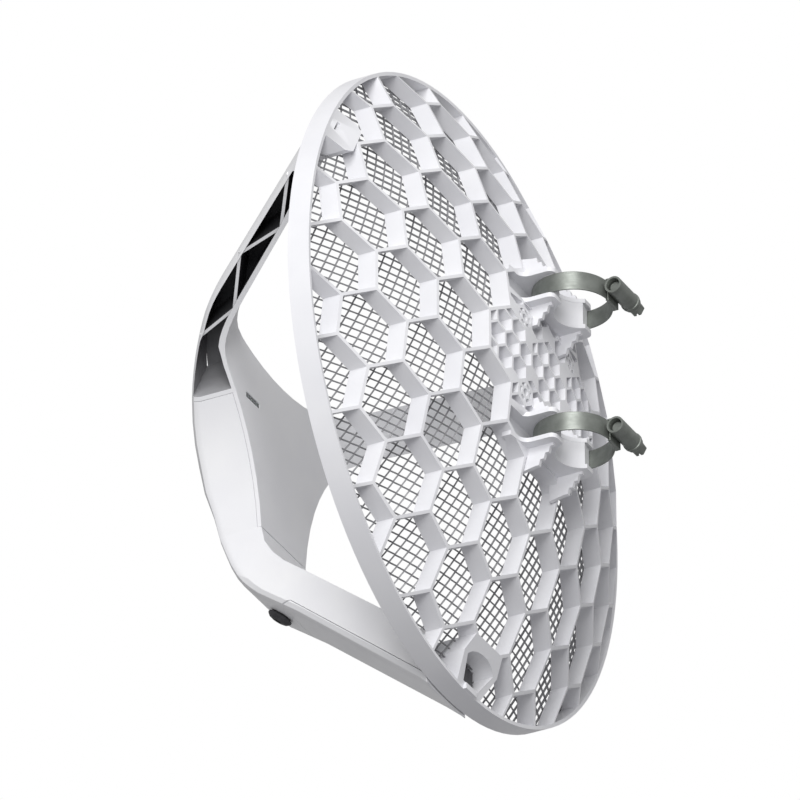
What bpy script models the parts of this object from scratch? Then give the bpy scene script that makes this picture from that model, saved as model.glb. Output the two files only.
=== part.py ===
"""Compact outdoor grid dish with a three-armed radio head and two worm-drive mast clamps.

Frame: +Z up, the dish looks along -Y, and the origin lies on the mast's axis, midway
between the two clamps.  Sizes are in millimetres; meshes are written in metres.
"""
import math

import bmesh
import bpy
from mathutils import Matrix, Vector
from mathutils.geometry import delaunay_2d_cdt

MM = 0.001
GAP = 0.3                     # clearance between pieces that touch

# ---- mast and clamps -------------------------------------------------------
MAST_DIAMETER = 32.0
CLAMP_SPACING = 94.0          # between the two band centres
BAND_WIDTH = 12.0
BAND_THICKNESS = 0.9
BAND_INNER_RADIUS = 22.6
WORM_HOUSING_DIAMETER = 10.6
WORM_HOUSING_LENGTH = 24.0
WORM_HOUSING_START_X = 6.0
WORM_WALL = 1.5
WORM_SCREW_DIAMETER = WORM_HOUSING_DIAMETER - 2.0 * WORM_WALL
HEX_HEAD_FLATS = 7.6
HEX_HEAD_LENGTH = 7.0
SADDLE_STRAP = 0.9

# ---- dish ------------------------------------------------------------------
DISH_RADIUS = 195.5
RIM_WALL = 2.2
RIM_DEPTH = 13.5
DISH_SAG = 55.4               # rear rim plane to the lattice's rear apex
LATTICE_APEX_Y = -20.2
RIM_REAR_Y = LATTICE_APEX_Y - DISH_SAG     # plane of the rim's rear edge
CELLS_ACROSS = 9
CELL_WALL = 1.9
LATTICE_DEPTH = 11.0
MESH_THICKNESS = 1.0
MESH_CLEARANCE = 0.7          # lattice front to mesh, measured between the two curves
SMALLEST_CELL_AREA = 90.0
RIM_SEGMENTS = 120

# ---- mast mount, moulded into the dish frame -------------------------------
FINE_CELLS_PER_CELL = 3
FINE_WALL = 1.5
FINE_DEPTH = 8.5
FINE_REAR_Y = -21.8           # highest the fine honeycomb stands towards the mast
BOSS_HOLE_RADIUS = 2.4
BOSS_RING_INNER = 4.2
BOSS_RING_OUTER = 6.0
FLANGE_THICKNESS = 2.8
FLANGE_CLEARANCE = 1.2        # band edge to flange
FLANGE_FRONT_Y = -33.0
FLANGE_SHOULDER_Y = -26.4
EAR_OUTER_X = 26.0
EAR_TOP_Y = -5.8
EAR_CORNER = 4.0
SADDLE_CLEARANCE = 0.5        # moulded saddle to mast, and saddle core to band
POCKET_FLOOR_Y = -31.4
TOOTH_THICKNESS = 1.8
TOOTH_PITCH = 3.6
TOOTH_COUNT = 4

# ---- radio head: heights are measured forward from the rear rim plane -------
HEAD_REAR_HEIGHT = 119.0      # dish-facing panel
HEAD_FRONT_HEIGHT = 162.5     # crown of the front shell
HEAD_CROWN = 0.0039           # fall of the crown per square of the radius
CROWN_REACH = 52.0            # the crown is round out to here, past the hub's corners
STRAIGHT_START = 116.0        # limbs run straight from here to the rim
STRAIGHT_RUN = 79.5           # radius that their slopes are drawn for, less the start
HEAD_END_HEIGHT = 14.0        # flat tips, just clear of the rim's front edge
ARM_ANGLE = 30.0              # above the horizontal, on both sides; the leg hangs straight down
ARM_HALF_WIDTH = 14.0
LEG_HALF_WIDTH = 27.0
LEG_END_HALF_WIDTH = 22.0
HUB_TOP = 40.0                # axis to the hub's edge, straight up
SIDE_FILLET = 134.0           # radius between the leg's side and an arm's lower side
ARM_SLOPE = 1.235             # fall of an arm towards the dish per length of radius
ARM_SPLIT = 54.5              # where an arm begins, measured along it from the dish axis
ARM_STATIONS = (62.0, 69.0, 76.0, 81.0, 86.0, 91.0, 96.0, 102.0, 107.0, 111.5, 116.0, 145.0,
                DISH_RADIUS - 23.0, DISH_RADIUS - 4.8)
CHANNEL_STATIONS = (63.0, 70.0, 77.0, 82.0, 87.0, 92.0, 97.0, 103.0, 108.0, 112.0, 116.5, 145.5,
                    DISH_RADIUS - 19.5)
RIB_NODES = ((90.0, True), (101.0, False), (134.0, True), (143.0, False), (174.0, True))
RIB_RECESS = 2.2              # ribs stop short of the channel's open side
ARM_RIB = 1.8
WEB_WALL = 2.6
SHELL_WALL = 2.4
EDGE_INSETS = ((0.0, 6.0), (2.0, 1.9), (7.0, 0.0))   # rounded front edge: (in from the side, drop)
PANEL_END = 66.0              # down the leg, where the dish-facing panel stops
LEG_COVER_START = 119.0
LEG_BEND_STATIONS = (76.0, 84.0, 92.0, 98.0, 103.0, 108.0, 113.0)
LEG_STATIONS = (146.0, DISH_RADIUS - 32.6, DISH_RADIUS - 7.5)
COVER_STATIONS = (126.0, DISH_RADIUS - 35.5, DISH_RADIUS - 5.5, DISH_RADIUS + 0.1)
ARM_TONGUE = (DISH_RADIUS - 15.5, DISH_RADIUS - 7.5, 11.0)     # inner radius, outer radius, half width
LEG_TONGUE = (DISH_RADIUS - 19.0, DISH_RADIUS - 8.5, 9.0)
TONGUE_LENGTH = 12.0
ARM_SOCKET_INNER = DISH_RADIUS - 19.0
ARM_SOCKET_OUTER = DISH_RADIUS - 5.0
ARM_SOCKET_HALF = 14.5
LEG_SOCKET_INNER = DISH_RADIUS - 28.5
SOCKET_WALL = 3.0
SOCKET_ROOF = 2.6
GLAND_DISTANCE = 111.0        # down the leg
GLAND_RADIUS = 6.0
GLAND_FLANGE = 7.6

# ---- inside the head -------------------------------------------------------
BOARD_HEIGHT = 128.5          # dish-facing side of the circuit board
BOARD_THICKNESS = 1.6
BOARD_POSTS = ((-25.0, 20.0), (25.0, 20.0), (0.0, -40.0))
POST_RADIUS = 3.2
SCREW_RADIUS = 1.2
LIGHT_PIPE_CENTRE = (38.0, 13.0)
BUTTON_RADIUS = 1.4
BUTTON_TRAVEL = 0.8


def rearSurface(radius):
    """Y of the lattice's rear edges at a distance from the dish axis."""
    inner = DISH_RADIUS - RIM_WALL
    return RIM_REAR_Y + DISH_SAG * (1.0 - (radius / inner) ** 2)


# ---- materials and small helpers -------------------------------------------
def material(name, colour, roughness, metallic=0.0):
    found = bpy.data.materials.get(name)
    if found:
        return found
    made = bpy.data.materials.new(name)
    made.use_nodes = True
    shader = made.node_tree.nodes["Principled BSDF"]
    shader.inputs["Base Color"].default_value = (*colour, 1.0)
    shader.inputs["Roughness"].default_value = roughness
    shader.inputs["Metallic"].default_value = metallic
    return made


def addObject(name, mesh, finish, smoothAngle=None, parent=None, origin=(0, 0, 0)):
    """Link a mesh (already in metres) and put its origin at a point given in millimetres."""
    place = Vector(origin) * MM
    mesh.transform(Matrix.Translation(-place))
    mesh.materials.append(finish)
    if smoothAngle is not None:
        mesh.shade_smooth()
        mesh.set_sharp_from_angle(angle=math.radians(smoothAngle))
    made = bpy.data.objects.new(name, mesh)
    made.location = place
    bpy.context.collection.objects.link(made)
    return made


def meshFrom(name, points, faces):
    """Mesh from points in millimetres; faces are turned to point outwards."""
    mesh = bpy.data.meshes.new(name)
    work = bmesh.new()
    verts = [work.verts.new(Vector(point) * MM) for point in points]
    for face in faces:
        work.faces.new([verts[index] for index in face])
    bmesh.ops.recalc_face_normals(work, faces=work.faces)
    work.to_mesh(mesh)
    work.free()
    return mesh


def loft(name, rings, closed=False):
    """Closed body through rings of equal point count, capped at both ends unless it closes."""
    count = len(rings[0])
    points = [point for ring in rings for point in ring]
    faces = []
    spans = len(rings) if closed else len(rings) - 1
    for level in range(spans):
        low = level * count
        high = ((level + 1) % len(rings)) * count
        for index in range(count):
            after = (index + 1) % count
            faces.append((low + index, low + after, high + after, high + index))
    if not closed:
        faces.append(tuple(range(count)))
        faces.append(tuple(range(len(points) - count, len(points))))
    return meshFrom(name, points, faces)


def prism(name, outline, place, low, high):
    """Extrude a 2D outline between two levels; place(u, v, level) gives the 3D point."""
    return loft(name, [[place(u, v, level) for u, v in outline] for level in (low, high)])


def boxMesh(name, low, high):
    outline = [(low[0], low[1]), (high[0], low[1]), (high[0], high[1]), (low[0], high[1])]
    return prism(name, outline, lambda u, v, level: (u, v, level), low[2], high[2])


def circle(radius, count, centre=(0.0, 0.0), turn=0.0):
    step = 2.0 * math.pi / count
    return [(centre[0] + radius * math.cos(turn + step * index),
             centre[1] + radius * math.sin(turn + step * index)) for index in range(count)]


def arc(centre, radius, start, end, count):
    """Points on an arc between two angles in degrees, ends included."""
    angles = [math.radians(start + (end - start) * index / (count - 1)) for index in range(count)]
    return [(centre[0] + radius * math.cos(a), centre[1] + radius * math.sin(a)) for a in angles]


def turned(name, profile, axisStart, axis, segments):
    """Turn a (distance, radius) profile about an axis; a radius of 0 closes the end."""
    along = Vector(axis).normalized()
    side = along.orthogonal().normalized()
    other = along.cross(side)
    start = Vector(axisStart)
    points = []
    rings = []
    for distance, radius in profile:
        if radius == 0.0:
            rings.append([len(points)])
            points.append(start + along * distance)
            continue
        rings.append(list(range(len(points), len(points) + segments)))
        for index in range(segments):
            turn = 2.0 * math.pi * index / segments
            spoke = side * math.cos(turn) + other * math.sin(turn)
            points.append(start + along * distance + spoke * radius)
    faces = []
    for lower, upper in zip(rings, rings[1:]):
        for index in range(segments):
            after = (index + 1) % segments
            quad = [lower[index % len(lower)], lower[after % len(lower)],
                    upper[after % len(upper)], upper[index % len(upper)]]
            faces.append(tuple(dict.fromkeys(quad)))
    if len(rings[0]) > 1 and profile[0] != profile[-1]:
        faces.append(tuple(rings[0]))
    if len(rings[-1]) > 1 and profile[0] != profile[-1]:
        faces.append(tuple(rings[-1]))
    mesh = meshFrom(name, points, faces)
    if profile[0] == profile[-1]:
        weld(mesh)
    return mesh


def weld(mesh):
    work = bmesh.new()
    work.from_mesh(mesh)
    bmesh.ops.remove_doubles(work, verts=work.verts, dist=1e-6)
    bmesh.ops.recalc_face_normals(work, faces=work.faces)
    work.to_mesh(mesh)
    work.free()


def combine(target, other, operation):
    """Boolean modifier whose operand is left out of the model."""
    other.hide_render = True
    other.display_type = "WIRE"
    step = target.modifiers.new(operation.title(), "BOOLEAN")
    step.operation = operation
    step.solver = "EXACT"
    step.object = other
    return step


def helper(name, mesh, finish):
    made = addObject(name, mesh, finish)
    made.hide_render = True
    made.display_type = "WIRE"
    return made


# ---- 2D outlines -----------------------------------------------------------
def hexagon(centre, flats):
    """Pointy-top hexagon by its width across the vertical edges."""
    return circle(flats / math.sqrt(3.0), 6, centre, math.radians(30.0))


def clipHalfPlane(outline, normal, offset):
    """Keep the part of a convex outline where normal . point <= offset."""
    kept = []
    for index, point in enumerate(outline):
        after = outline[(index + 1) % len(outline)]
        here = normal[0] * point[0] + normal[1] * point[1] - offset
        there = normal[0] * after[0] + normal[1] * after[1] - offset
        if here <= 0.0:
            kept.append(point)
        if (here < 0.0 < there) or (there < 0.0 < here):
            share = here / (here - there)
            kept.append((point[0] + share * (after[0] - point[0]),
                         point[1] + share * (after[1] - point[1])))
    return kept


def clipCircle(outline, radius, count):
    for index in range(count):
        turn = 2.0 * math.pi * (index + 0.5) / count
        reach = radius * math.cos(math.pi / count)
        if outline:
            outline = clipHalfPlane(outline, (math.cos(turn), math.sin(turn)), reach)
    return dropShort(outline)


def dropShort(outline, shortest=0.6):
    kept = []
    for point in outline:
        if not kept or math.dist(point, kept[-1]) > shortest:
            kept.append(point)
    while len(kept) > 1 and math.dist(kept[0], kept[-1]) <= shortest:
        kept.pop()
    return kept


def area(outline):
    total = 0.0
    for index, point in enumerate(outline):
        after = outline[(index + 1) % len(outline)]
        total += point[0] * after[1] - point[1] * after[0]
    return abs(total) / 2.0


def inside(point, outline):
    """Point in a convex outline that runs anticlockwise."""
    for index, start in enumerate(outline):
        end = outline[(index + 1) % len(outline)]
        cross = (end[0] - start[0]) * (point[1] - start[1]) - (end[1] - start[1]) * (point[0] - start[0])
        if cross < 0.0:
            return False
    return True


def fillWithHoles(outer, holes, extra=()):
    """Triangles of an outline with holes, as indices into all loops laid end to end.

    Extra points inside the outline, numbered after the loops, let the sheet follow a curve.
    """
    loops = [outer] + holes
    points = [Vector(point) for loop in loops for point in loop] + [Vector(point) for point in extra]
    edges = []
    start = 0
    for loop in loops:
        edges += [(start + index, start + (index + 1) % len(loop)) for index in range(len(loop))]
        start += len(loop)
    verts, _, faces, origins, _, _ = delaunay_2d_cdt(points, edges, [], 0, 1e-7)
    source = [found[0] for found in origins]
    kept = []
    for face in faces:
        middle = sum((verts[index] for index in face), Vector((0.0, 0.0))) / 3.0
        if not inside(middle, outer) or any(inside(middle, hole) for hole in holes):
            continue
        kept.append(tuple(source[index] for index in face))
    return kept


# ---- dish frame ------------------------------------------------------------
def cellPitch():
    return 2.0 * DISH_RADIUS / CELLS_ACROSS


def cellCentres(pitch, reach):
    """Centres of a hexagon pattern with one cell on the axis."""
    rowHeight = pitch * math.sqrt(3.0) / 2.0
    rows = int(reach / rowHeight) + 1
    columns = int(reach / pitch) + 2
    centres = []
    for row in range(-rows, rows + 1):
        shift = pitch / 2.0 if row % 2 else 0.0
        for column in range(-columns, columns + 1):
            centres.append((column * pitch + shift, row * rowHeight))
    return centres


def flangeLevels():
    """Z of each flange's middle: two beside each band."""
    half = BAND_WIDTH / 2.0 + FLANGE_CLEARANCE + FLANGE_THICKNESS / 2.0
    return [side * (CLAMP_SPACING / 2.0) + step * half for side in (-1, 1) for step in (-1, 1)]


def mountCell(centre):
    """True for the big cells that the mast mount fills."""
    pitch = cellPitch()
    row = round(centre[1] / (pitch * math.sqrt(3.0) / 2.0))
    reach = 1.1 * pitch if row == 0 else 0.6 * pitch
    return abs(row) <= 1 and abs(centre[0]) < reach


def mountBlocks():
    pitch = cellPitch()
    return [centre for centre in cellCentres(pitch, pitch * 2.0) if mountCell(centre)]


def throughCells():
    """Openings of the lattice, cut to the rim, plus what is left above the outer flanges."""
    pitch = cellPitch()
    openings = []
    edge = DISH_RADIUS - RIM_WALL * 0.7
    mountTop = max(flangeLevels()) + FLANGE_THICKNESS
    for centre in cellCentres(pitch, DISH_RADIUS):
        if mountCell(centre) and abs(centre[1]) < 1.0:
            continue
        outline = clipCircle(hexagon(centre, pitch - CELL_WALL), edge, RIM_SEGMENTS)
        if abs(centre[0]) < pitch and outline:
            side = 1.0 if centre[1] > 0.0 else -1.0
            outline = clipHalfPlane(outline, (0.0, -side), -mountTop)
        if len(outline) > 2 and area(outline) > SMALLEST_CELL_AREA:
            openings.append(outline)
    return openings


def fineCells():
    """Blind cells of the fine honeycomb: (outline, floor Y) pairs."""
    pitch = cellPitch()
    finePitch = pitch / FINE_CELLS_PER_CELL
    inner = min(abs(level) for level in flangeLevels()) - FLANGE_THICKNESS / 2.0 - FINE_WALL
    blocks = mountBlocks()
    bossSpots = bossCentres()
    cells = []
    for centre in cellCentres(finePitch, pitch * 2):
        for block in blocks:
            if not inside(centre, hexagon(block, pitch + 0.01)):
                continue
            outline = hexagon(centre, finePitch - FINE_WALL)
            outline = clipToHexagon(outline, block, pitch - CELL_WALL)
            outline = clipHalfPlane(outline, (0.0, 1.0), inner)
            outline = dropShort(clipHalfPlane(outline, (0.0, -1.0), inner))
            near = any(math.dist(centre, spot) < finePitch * 0.4 for spot in bossSpots)
            if len(outline) > 2 and area(outline) > 12.0 and not near:
                cells.append(outline)
            break
    return cells


def clipToHexagon(outline, centre, flats):
    for index in range(6):
        turn = math.radians(60.0 * index)
        normal = (math.cos(turn), math.sin(turn))
        reach = flats / 2.0 + normal[0] * centre[0] + normal[1] * centre[1]
        if outline:
            outline = clipHalfPlane(outline, normal, reach)
    return outline


def bossCentres():
    """The four screw bosses sit in cells of the fine honeycomb."""
    fine = cellPitch() / FINE_CELLS_PER_CELL
    rise = fine * math.sqrt(3.0)
    return [(x * 2.0 * fine, z * rise) for x in (-1, 1) for z in (-1, 1)]


def bossHoles():
    """A screw hole in each boss, ringed by windows between radial ribs."""
    holes = []
    windows = 6
    for centre in bossCentres():
        holes.append(circle(BOSS_HOLE_RADIUS, 10, centre))
        for index in range(windows):
            middle = 360.0 / windows * index
            half = 360.0 / windows * 0.34
            outer = arc(centre, BOSS_RING_OUTER, middle - half, middle + half, 3)
            inner = arc(centre, BOSS_RING_INNER, middle + half, middle - half, 2)
            holes.append(outer + inner)
    return holes


def pocketOutlines():
    """Pockets between the flanges, where the bands pass in front of the saddle."""
    half = BAND_WIDTH / 2.0 + FLANGE_CLEARANCE
    pitch = cellPitch()
    outlines = []
    for side in (-1, 1):
        middle = side * CLAMP_SPACING / 2.0
        reach = pitch - CELL_WALL / 2.0
        corner = pitch / math.sqrt(3.0) * 2.0
        outline = [(-reach, middle - half), (reach, middle - half),
                   (reach, middle + half), (-reach, middle + half)]
        for lean in (-1, 1):
            normal = (lean * 0.5, side * math.sqrt(3.0) / 2.0)
            offset = corner * math.sqrt(3.0) / 2.0 + 0.5 * pitch / 2.0 * 2.0 - CELL_WALL / 2.0
            outline = clipHalfPlane(outline, normal, offset)
        outlines.append(outline)
    return outlines


def latticeMesh():
    """Walls between straight-drawn cells, from the curved rear edges to the curved front."""
    outer = circle(DISH_RADIUS - RIM_WALL * 0.35, RIM_SEGMENTS)
    through = throughCells()
    blind = [(outline, None) for outline in fineCells() + bossHoles()]
    blind += [(outline, POCKET_FLOOR_Y) for outline in pocketOutlines()]
    rearTriangles = fillWithHoles(outer, through + [outline for outline, _ in blind])
    mountPoints = [point for point in cellCentres(cellPitch() / FINE_CELLS_PER_CELL, cellPitch() * 2.0)
                   if any(inside(point, hexagon(block, cellPitch() - CELL_WALL * 2.0))
                          for block in mountBlocks())
                   and abs(point[1]) < max(flangeLevels())]
    frontTriangles = fillWithHoles(outer, through, mountPoints)

    def rearY(point):
        radius = math.hypot(*point)
        level = rearSurface(radius)
        return min(level, FINE_REAR_Y) if radius < cellPitch() * 1.6 else level

    points = []
    faces = []

    def addLoop(loop, level):
        first = len(points)
        points.extend((x, level((x, z)), z) for x, z in loop)
        return first

    def frontY(point):
        return rearSurface(math.hypot(*point)) - LATTICE_DEPTH

    loops = [outer] + through + [outline for outline, _ in blind]
    rearStarts = [addLoop(loop, rearY) for loop in loops]
    faces += rearTriangles
    frontOffset = len(points)
    for loop in [outer] + through + [mountPoints]:
        addLoop(loop, frontY)
    faces += [tuple(frontOffset + index for index in triangle) for triangle in frontTriangles]
    start = 0
    for loop in [outer] + through:
        for index in range(len(loop)):
            after = (index + 1) % len(loop)
            faces.append((start + index, start + after,
                          frontOffset + start + after, frontOffset + start + index))
        start += len(loop)
    for (loop, floor), rearStart in zip(blind, rearStarts[1 + len(through):]):
        low = addLoop(loop, lambda point, y=floor: rearY(point) - FINE_DEPTH if y is None else y)
        for index in range(len(loop)):
            after = (index + 1) % len(loop)
            faces.append((rearStart + index, rearStart + after, low + after, low + index))
        middle = len(points)
        centre = (sum(x for x, _ in loop) / len(loop), sum(z for _, z in loop) / len(loop))
        points.append((centre[0], sum(p[1] for p in points[low:low + len(loop)]) / len(loop), centre[1]))
        faces += [(low + index, low + (index + 1) % len(loop), middle) for index in range(len(loop))]
    return meshFrom("dish_frame", points, faces)


def rimMesh():
    inner = DISH_RADIUS - RIM_WALL
    rings = []
    for radius, level in ((DISH_RADIUS, RIM_REAR_Y), (DISH_RADIUS, RIM_REAR_Y - RIM_DEPTH),
                          (inner, RIM_REAR_Y - RIM_DEPTH), (inner, RIM_REAR_Y)):
        rings.append([(x, level, z) for x, z in circle(radius, RIM_SEGMENTS)])
    return loft("rim", rings, closed=True)


def flangeOutline():
    """Plan view (X, Y) of one flange: a shoulder, two ears and the cradle round the mast."""
    reach = cellPitch() * 0.9
    mast = MAST_DIAMETER / 2.0 + SADDLE_CLEARANCE
    right = [(reach, FLANGE_FRONT_Y), (reach, FLANGE_SHOULDER_Y - 1.0)]
    right += arc((EAR_OUTER_X + 6.0, FLANGE_SHOULDER_Y + 6.0), 6.0, 270.0, 180.0, 5)
    corner = (EAR_OUTER_X - EAR_CORNER, EAR_TOP_Y - EAR_CORNER)
    right += arc(corner, EAR_CORNER, 0.0, 90.0, 5)
    meet = math.degrees(math.asin(EAR_TOP_Y / mast))
    cradle = arc((0.0, 0.0), mast, meet, -180.0 - meet, 17)
    left = [(-x, y) for x, y in reversed(right)]
    return right + cradle + left


def addMount(frame, finish):
    """Flanges, saddle cores and grip teeth, joined onto the frame."""
    def plan(u, v, level):
        return (u, v, level)

    outline = flangeOutline()
    pieces = []
    for index, level in enumerate(flangeLevels()):
        low = level - FLANGE_THICKNESS / 2.0
        flange = prism("flange", outline, plan, low, low + FLANGE_THICKNESS)
        pieces.append(helper(f"flange_{index}", flange, finish))
    mast = MAST_DIAMETER / 2.0 + SADDLE_CLEARANCE
    bandCentre = (0.0, MAST_DIAMETER / 2.0 + GAP - BAND_INNER_RADIUS)
    coreRadius = BAND_INNER_RADIUS - SADDLE_CLEARANCE
    hold = arc((0.0, 0.0), mast + 0.15, -25.0, -155.0, 15)
    back = arc(bandCentre, coreRadius, -176.0, -4.0, 17)
    for side in (-1, 1):
        middle = side * CLAMP_SPACING / 2.0
        half = BAND_WIDTH / 2.0 + FLANGE_CLEARANCE + FLANGE_THICKNESS * 0.7
        core = prism("core", hold + back, plan, middle - half, middle + half)
        pieces.append(helper(f"saddle_core_{side}", core, finish))
    for index, level in enumerate(flangeLevels()):
        away = (1.0 if index in (1, 3) else -1.0)
        for lean in (-1, 1):
            web = webOutline(lean, level, away)
            mesh = prism("web", web, lambda u, v, x: (x, u, v), lean * 17.0, lean * 19.6)
            pieces.append(helper(f"saddle_web_{index}_{lean}", mesh, finish))
    for piece in pieces:
        combine(frame, piece, "UNION")


def webOutline(lean, level, away):
    """Side view (Y, Z) of a saddle web whose edge towards the mast is toothed."""
    top = EAR_TOP_Y - EAR_CORNER
    points = [(FLANGE_FRONT_Y + 2.0, level), (top - 0.1, level)]
    for tooth in range(TOOTH_COUNT):
        start = FLANGE_THICKNESS / 2.0 + tooth * TOOTH_PITCH
        back = top - 3.2 * tooth
        points.append((back, level + away * (start + TOOTH_THICKNESS)))
        points.append((back - 2.2, level + away * (start + TOOTH_THICKNESS)))
    last = FLANGE_THICKNESS / 2.0 + TOOTH_COUNT * TOOTH_PITCH
    points.append((FLANGE_FRONT_Y + 2.0, level + away * last))
    return points


def buildDishFrame(finish):
    frame = addObject("dish_frame", latticeMesh(), finish)
    combine(frame, helper("rim_ring", rimMesh(), finish), "UNION")
    addMount(frame, finish)
    addLatches(frame, finish)
    return frame


def polarPlace(angle):
    """Placer for outlines drawn as (distance from the dish axis, offset across) at an angle."""
    turn = math.radians(angle)
    ray = (math.cos(turn), math.sin(turn))
    side = (-ray[1], ray[0])
    return lambda u, v, y: (ray[0] * u + side[0] * v, y, ray[1] * u + side[1] * v)


def latchPrism(angle, outline, rearLift, frontY):
    """Prism whose rear end follows the lattice's rear surface, raised by rearLift."""
    place = polarPlace(angle)
    rearRing = [place(u, v, rearSurface(math.hypot(u, v)) + rearLift) for u, v in outline]
    return loft("latch", [rearRing, [place(u, v, frontY) for u, v in outline]])


def rectangle(lowU, highU, half):
    return [(lowU, -half), (highU, -half), (highU, half), (lowU, half)]


def addLatches(frame, finish):
    """Sockets for the head's tongues: two roofed ones at the arms, an open one at the leg."""
    frontEdge = RIM_REAR_Y - RIM_DEPTH + 0.4
    intoRim = DISH_RADIUS - RIM_WALL + 0.3
    inner, half = ARM_SOCKET_INNER, ARM_SOCKET_HALF
    armBlock = [(inner, -half + 4.0), (inner + 4.0, -half), (intoRim, -half), (intoRim, half),
                (inner + 4.0, half), (inner, half - 4.0)]
    armSlot = rectangle(inner + SOCKET_WALL, ARM_SOCKET_OUTER, half - SOCKET_WALL)
    window = rectangle(ARM_SOCKET_OUTER - 2.2, ARM_SOCKET_OUTER - 0.1, 4.2)
    cuts = []
    for side, angle in enumerate((ARM_ANGLE, 180.0 - ARM_ANGLE)):
        block = latchPrism(angle, armBlock, 0.25, frontEdge)
        combine(frame, helper(f"latch_block_{side}", block, finish), "UNION")
        cuts.append((f"latch_slot_{side}", latchPrism(angle, armSlot, -SOCKET_ROOF, frontEdge - 5.0)))
        cuts.append((f"latch_window_{side}", latchPrism(angle, window, 4.0, frontEdge - 4.0)))
    plate = [(LEG_SOCKET_INNER, -16.0), (LEG_SOCKET_INNER + 11.0, -20.0), (intoRim, -14.0),
             (intoRim, 14.0), (LEG_SOCKET_INNER + 11.0, 20.0), (LEG_SOCKET_INNER, 16.0)]
    combine(frame, helper("leg_latch_block", latchPrism(270.0, plate, 0.25, frontEdge), finish), "UNION")
    tab = prism("tab", rectangle(DISH_RADIUS - 4.0, DISH_RADIUS - 0.3, 6.5), polarPlace(270.0),
                RIM_REAR_Y - 6.0, RIM_REAR_Y + 2.0)
    combine(frame, helper("leg_latch_tab", tab, finish), "UNION")
    arch = [(LEG_SOCKET_INNER + rise, half) for rise, half in (
        (24.0, -8.6), (24.0, 8.6), (11.6, 15.6), (9.0, 12.4), (7.3, 7.0), (6.7, 0.0), (7.3, -7.0),
        (9.0, -12.4), (11.6, -15.6))]
    cuts.append(("leg_latch_opening", latchPrism(270.0, arch, 5.0, frontEdge - 5.0)))
    for name, mesh in cuts:
        combine(frame, helper(name, mesh, finish), "DIFFERENCE")


def buildReflectorMesh(finish):
    """The wire mesh as one thin curved sheet just in front of the lattice."""
    reach = DISH_RADIUS - RIM_WALL - GAP
    rings = 7
    count = 60
    rear = LATTICE_DEPTH + MESH_CLEARANCE
    points = []
    for depth in (rear, rear + MESH_THICKNESS):
        points.append((0.0, rearSurface(0.0) - depth, 0.0))
        for ring in range(1, rings + 1):
            radius = reach * ring / rings
            points += [(x, rearSurface(radius) - depth, z) for x, z in circle(radius, count)]
    layer = 1 + rings * count
    faces = []
    for base in (0, layer):
        faces += [(base, base + 1 + i, base + 1 + (i + 1) % count) for i in range(count)]
        for ring in range(rings - 1):
            low = base + 1 + ring * count
            for i in range(count):
                after = (i + 1) % count
                faces.append((low + i, low + after, low + count + after, low + count + i))
    edge = 1 + (rings - 1) * count
    for i in range(count):
        after = (i + 1) % count
        faces.append((edge + i, edge + after, layer + edge + after, layer + edge + i))
    sheet = addObject("reflector_mesh", meshFrom("reflector_mesh", points, faces), finish, 30.0)
    notches = [(ARM_ANGLE, ARM_SOCKET_INNER, ARM_SOCKET_HALF),
               (180.0 - ARM_ANGLE, ARM_SOCKET_INNER, ARM_SOCKET_HALF),
               (270.0, LEG_SOCKET_INNER, 20.0)]
    for index, (angle, inner, half) in enumerate(notches):
        notch = prism("notch", rectangle(inner - 0.6, DISH_RADIUS + 5.0, half + 0.6), polarPlace(angle),
                      RIM_REAR_Y - 40.0, RIM_REAR_Y + 30.0)
        combine(sheet, helper(f"mesh_notch_{index}", notch, finish), "DIFFERENCE")
    return sheet


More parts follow.
